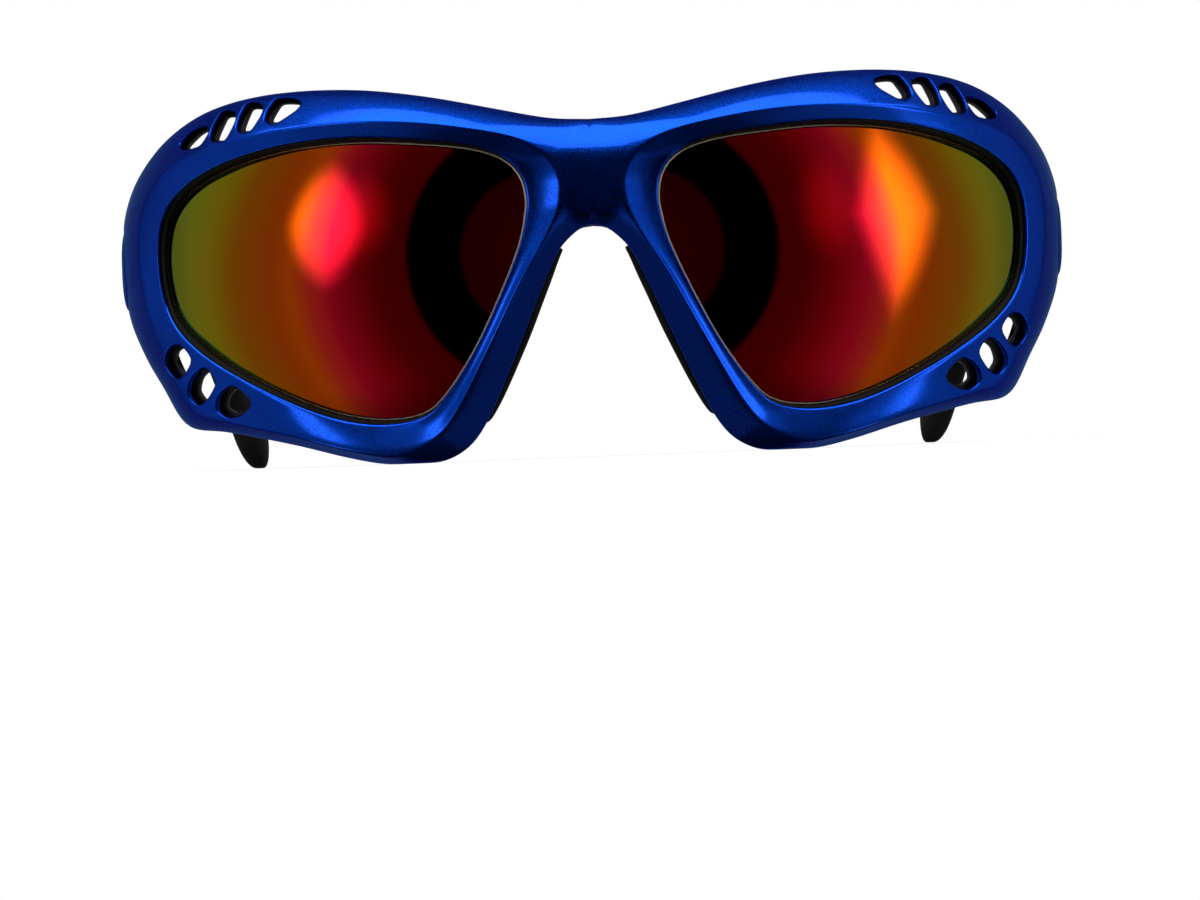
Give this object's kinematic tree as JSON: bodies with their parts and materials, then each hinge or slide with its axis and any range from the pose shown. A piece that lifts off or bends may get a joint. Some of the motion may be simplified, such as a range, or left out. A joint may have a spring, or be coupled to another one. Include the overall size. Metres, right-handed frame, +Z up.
{
  "type": "wraparound sunglasses",
  "caption": "Wraparound sports sunglasses with a vented glossy front, curved mirror lenses in seals, nose pads and folding temples on screwed hinges.",
  "frame": {"origin": "on the surface the open sunglasses stand on, under the middle of their bounding box", "axes": "+X to the viewer's right as they look at the front, -Y the way the lenses face, +Z up; the temples run back along +Y"},
  "size_m": [0.1452, 0.1732, 0.0551],
  "materials": {
    "blue_plastic": "metallic royal blue lacquer under a clear high-gloss coat",
    "black_plastic": "fine satin black",
    "mirror_lens": "orange-red mirror coat over a dark grey-brown polarized tint, turning olive at the outer end",
    "black_rubber": "soft matte black",
    "steel": "plain stainless, lightly brushed"
  },
  "bodies": {
    "front": {"front_shell": "blue_plastic", "front_liner": "black_plastic", "lens_left": "mirror_lens", "lens_right": "mirror_lens", "lens_seal_left": "black_rubber", "lens_seal_right": "black_rubber", "nose_pad_left": "black_rubber", "nose_pad_right": "black_rubber", "hinge_fork_left": "steel", "hinge_fork_right": "steel", "hinge_screw_left": "steel", "hinge_screw_right": "steel"},
    "temple_arm_left": {"temple_left": "blue_plastic", "temple_grip_left": "black_rubber", "temple_tip_left": "black_rubber", "hinge_tongue_left": "steel", "leaf_screws_left": "steel"},
    "temple_arm_right": {"temple_right": "blue_plastic", "temple_grip_right": "black_rubber", "temple_tip_right": "black_rubber", "hinge_tongue_right": "steel", "leaf_screws_right": "steel"}
  },
  "joints": [
    {"name": "temple_fold_right", "type": "hinge", "parent": "front", "child": "temple_arm_right", "pos_m": [0.069, -0.0326, 0.03135], "axis": [0, 0, 1], "range_deg": [0, 96]},
    {"name": "temple_fold_left", "type": "hinge", "parent": "front", "child": "temple_arm_left", "pos_m": [-0.069, -0.0326, 0.03135], "axis": [0, 0, -1], "range_deg": [0, 80]}
  ]
}
